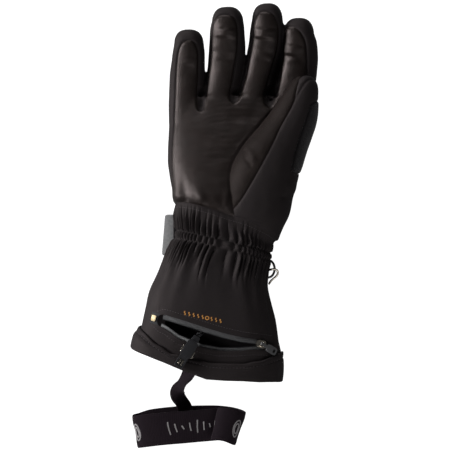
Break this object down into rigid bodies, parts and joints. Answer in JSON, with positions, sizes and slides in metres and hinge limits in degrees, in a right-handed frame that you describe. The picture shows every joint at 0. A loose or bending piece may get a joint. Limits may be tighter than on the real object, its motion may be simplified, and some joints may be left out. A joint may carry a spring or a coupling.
{
  "type": "heated glove",
  "caption": "Insulated heated glove with a leather palm, gathered wrist, zipped battery pocket with its lead, and a wrist leash, lying palm up.",
  "frame": {"origin": "on the floor under the middle of the gathered wrist, on the underside of the closing strap", "axes": "+Y from wrist to fingertips, +X to the thumb side, +Z out of the palm, up from the floor"},
  "size_m": [0.1651, 0.3945, 0.0705],
  "materials": {
    "softshell": "matt brushed softshell cloth",
    "leather": "fine-grained goatskin with a soft sheen",
    "plush": "short black pile",
    "pocket_cloth": "thin woven lining cloth",
    "zip_tape": "woven tape with a fine coil",
    "grey_rubber": "matt moulded rubber",
    "plug_plastic": "moulded black plastic",
    "wire_sleeve": "smooth wire sleeve",
    "webbing": "ribbed woven webbing",
    "nickel": "bright nickel plate",
    "gunmetal": "dark satin metal"
  },
  "bodies": {
    "glove": {"hand_shell": "softshell", "palm_leather": "leather", "thumb_shell": "softshell", "thumb_leather": "leather", "thumb_wipe": "plush", "gauntlet": "softshell", "hem_band": "softshell", "pocket_bag": "pocket_cloth", "zip_tape_upper": "zip_tape", "zip_tape_lower": "zip_tape", "zip_garage": "grey_rubber", "zip_end_stop": "nickel", "zip_slider": "nickel", "plug_body": "plug_plastic", "plug_contact_left": "nickel", "plug_contact_right": "nickel", "plug_latch_left": "nickel", "plug_latch_right": "nickel", "lead_wire_left": "wire_sleeve", "lead_wire_right": "wire_sleeve", "leash_strap": "webbing", "leash_loop": "webbing", "wrist_strap": "webbing", "wrist_tab": "grey_rubber", "clip_loop": "webbing", "clip_ring": "gunmetal", "clip_hook": "nickel"},
    "zip_pull": {"zip_pull": "grey_rubber"}
  },
  "joints": [
    {"name": "zip_pull_hinge", "type": "hinge", "parent": "glove", "child": "zip_pull", "pos_m": [0.03212, -0.10188, 0.06074], "axis": [-0.4476, -0.8655, 0.225], "range_deg": [0, 110]}
  ]
}
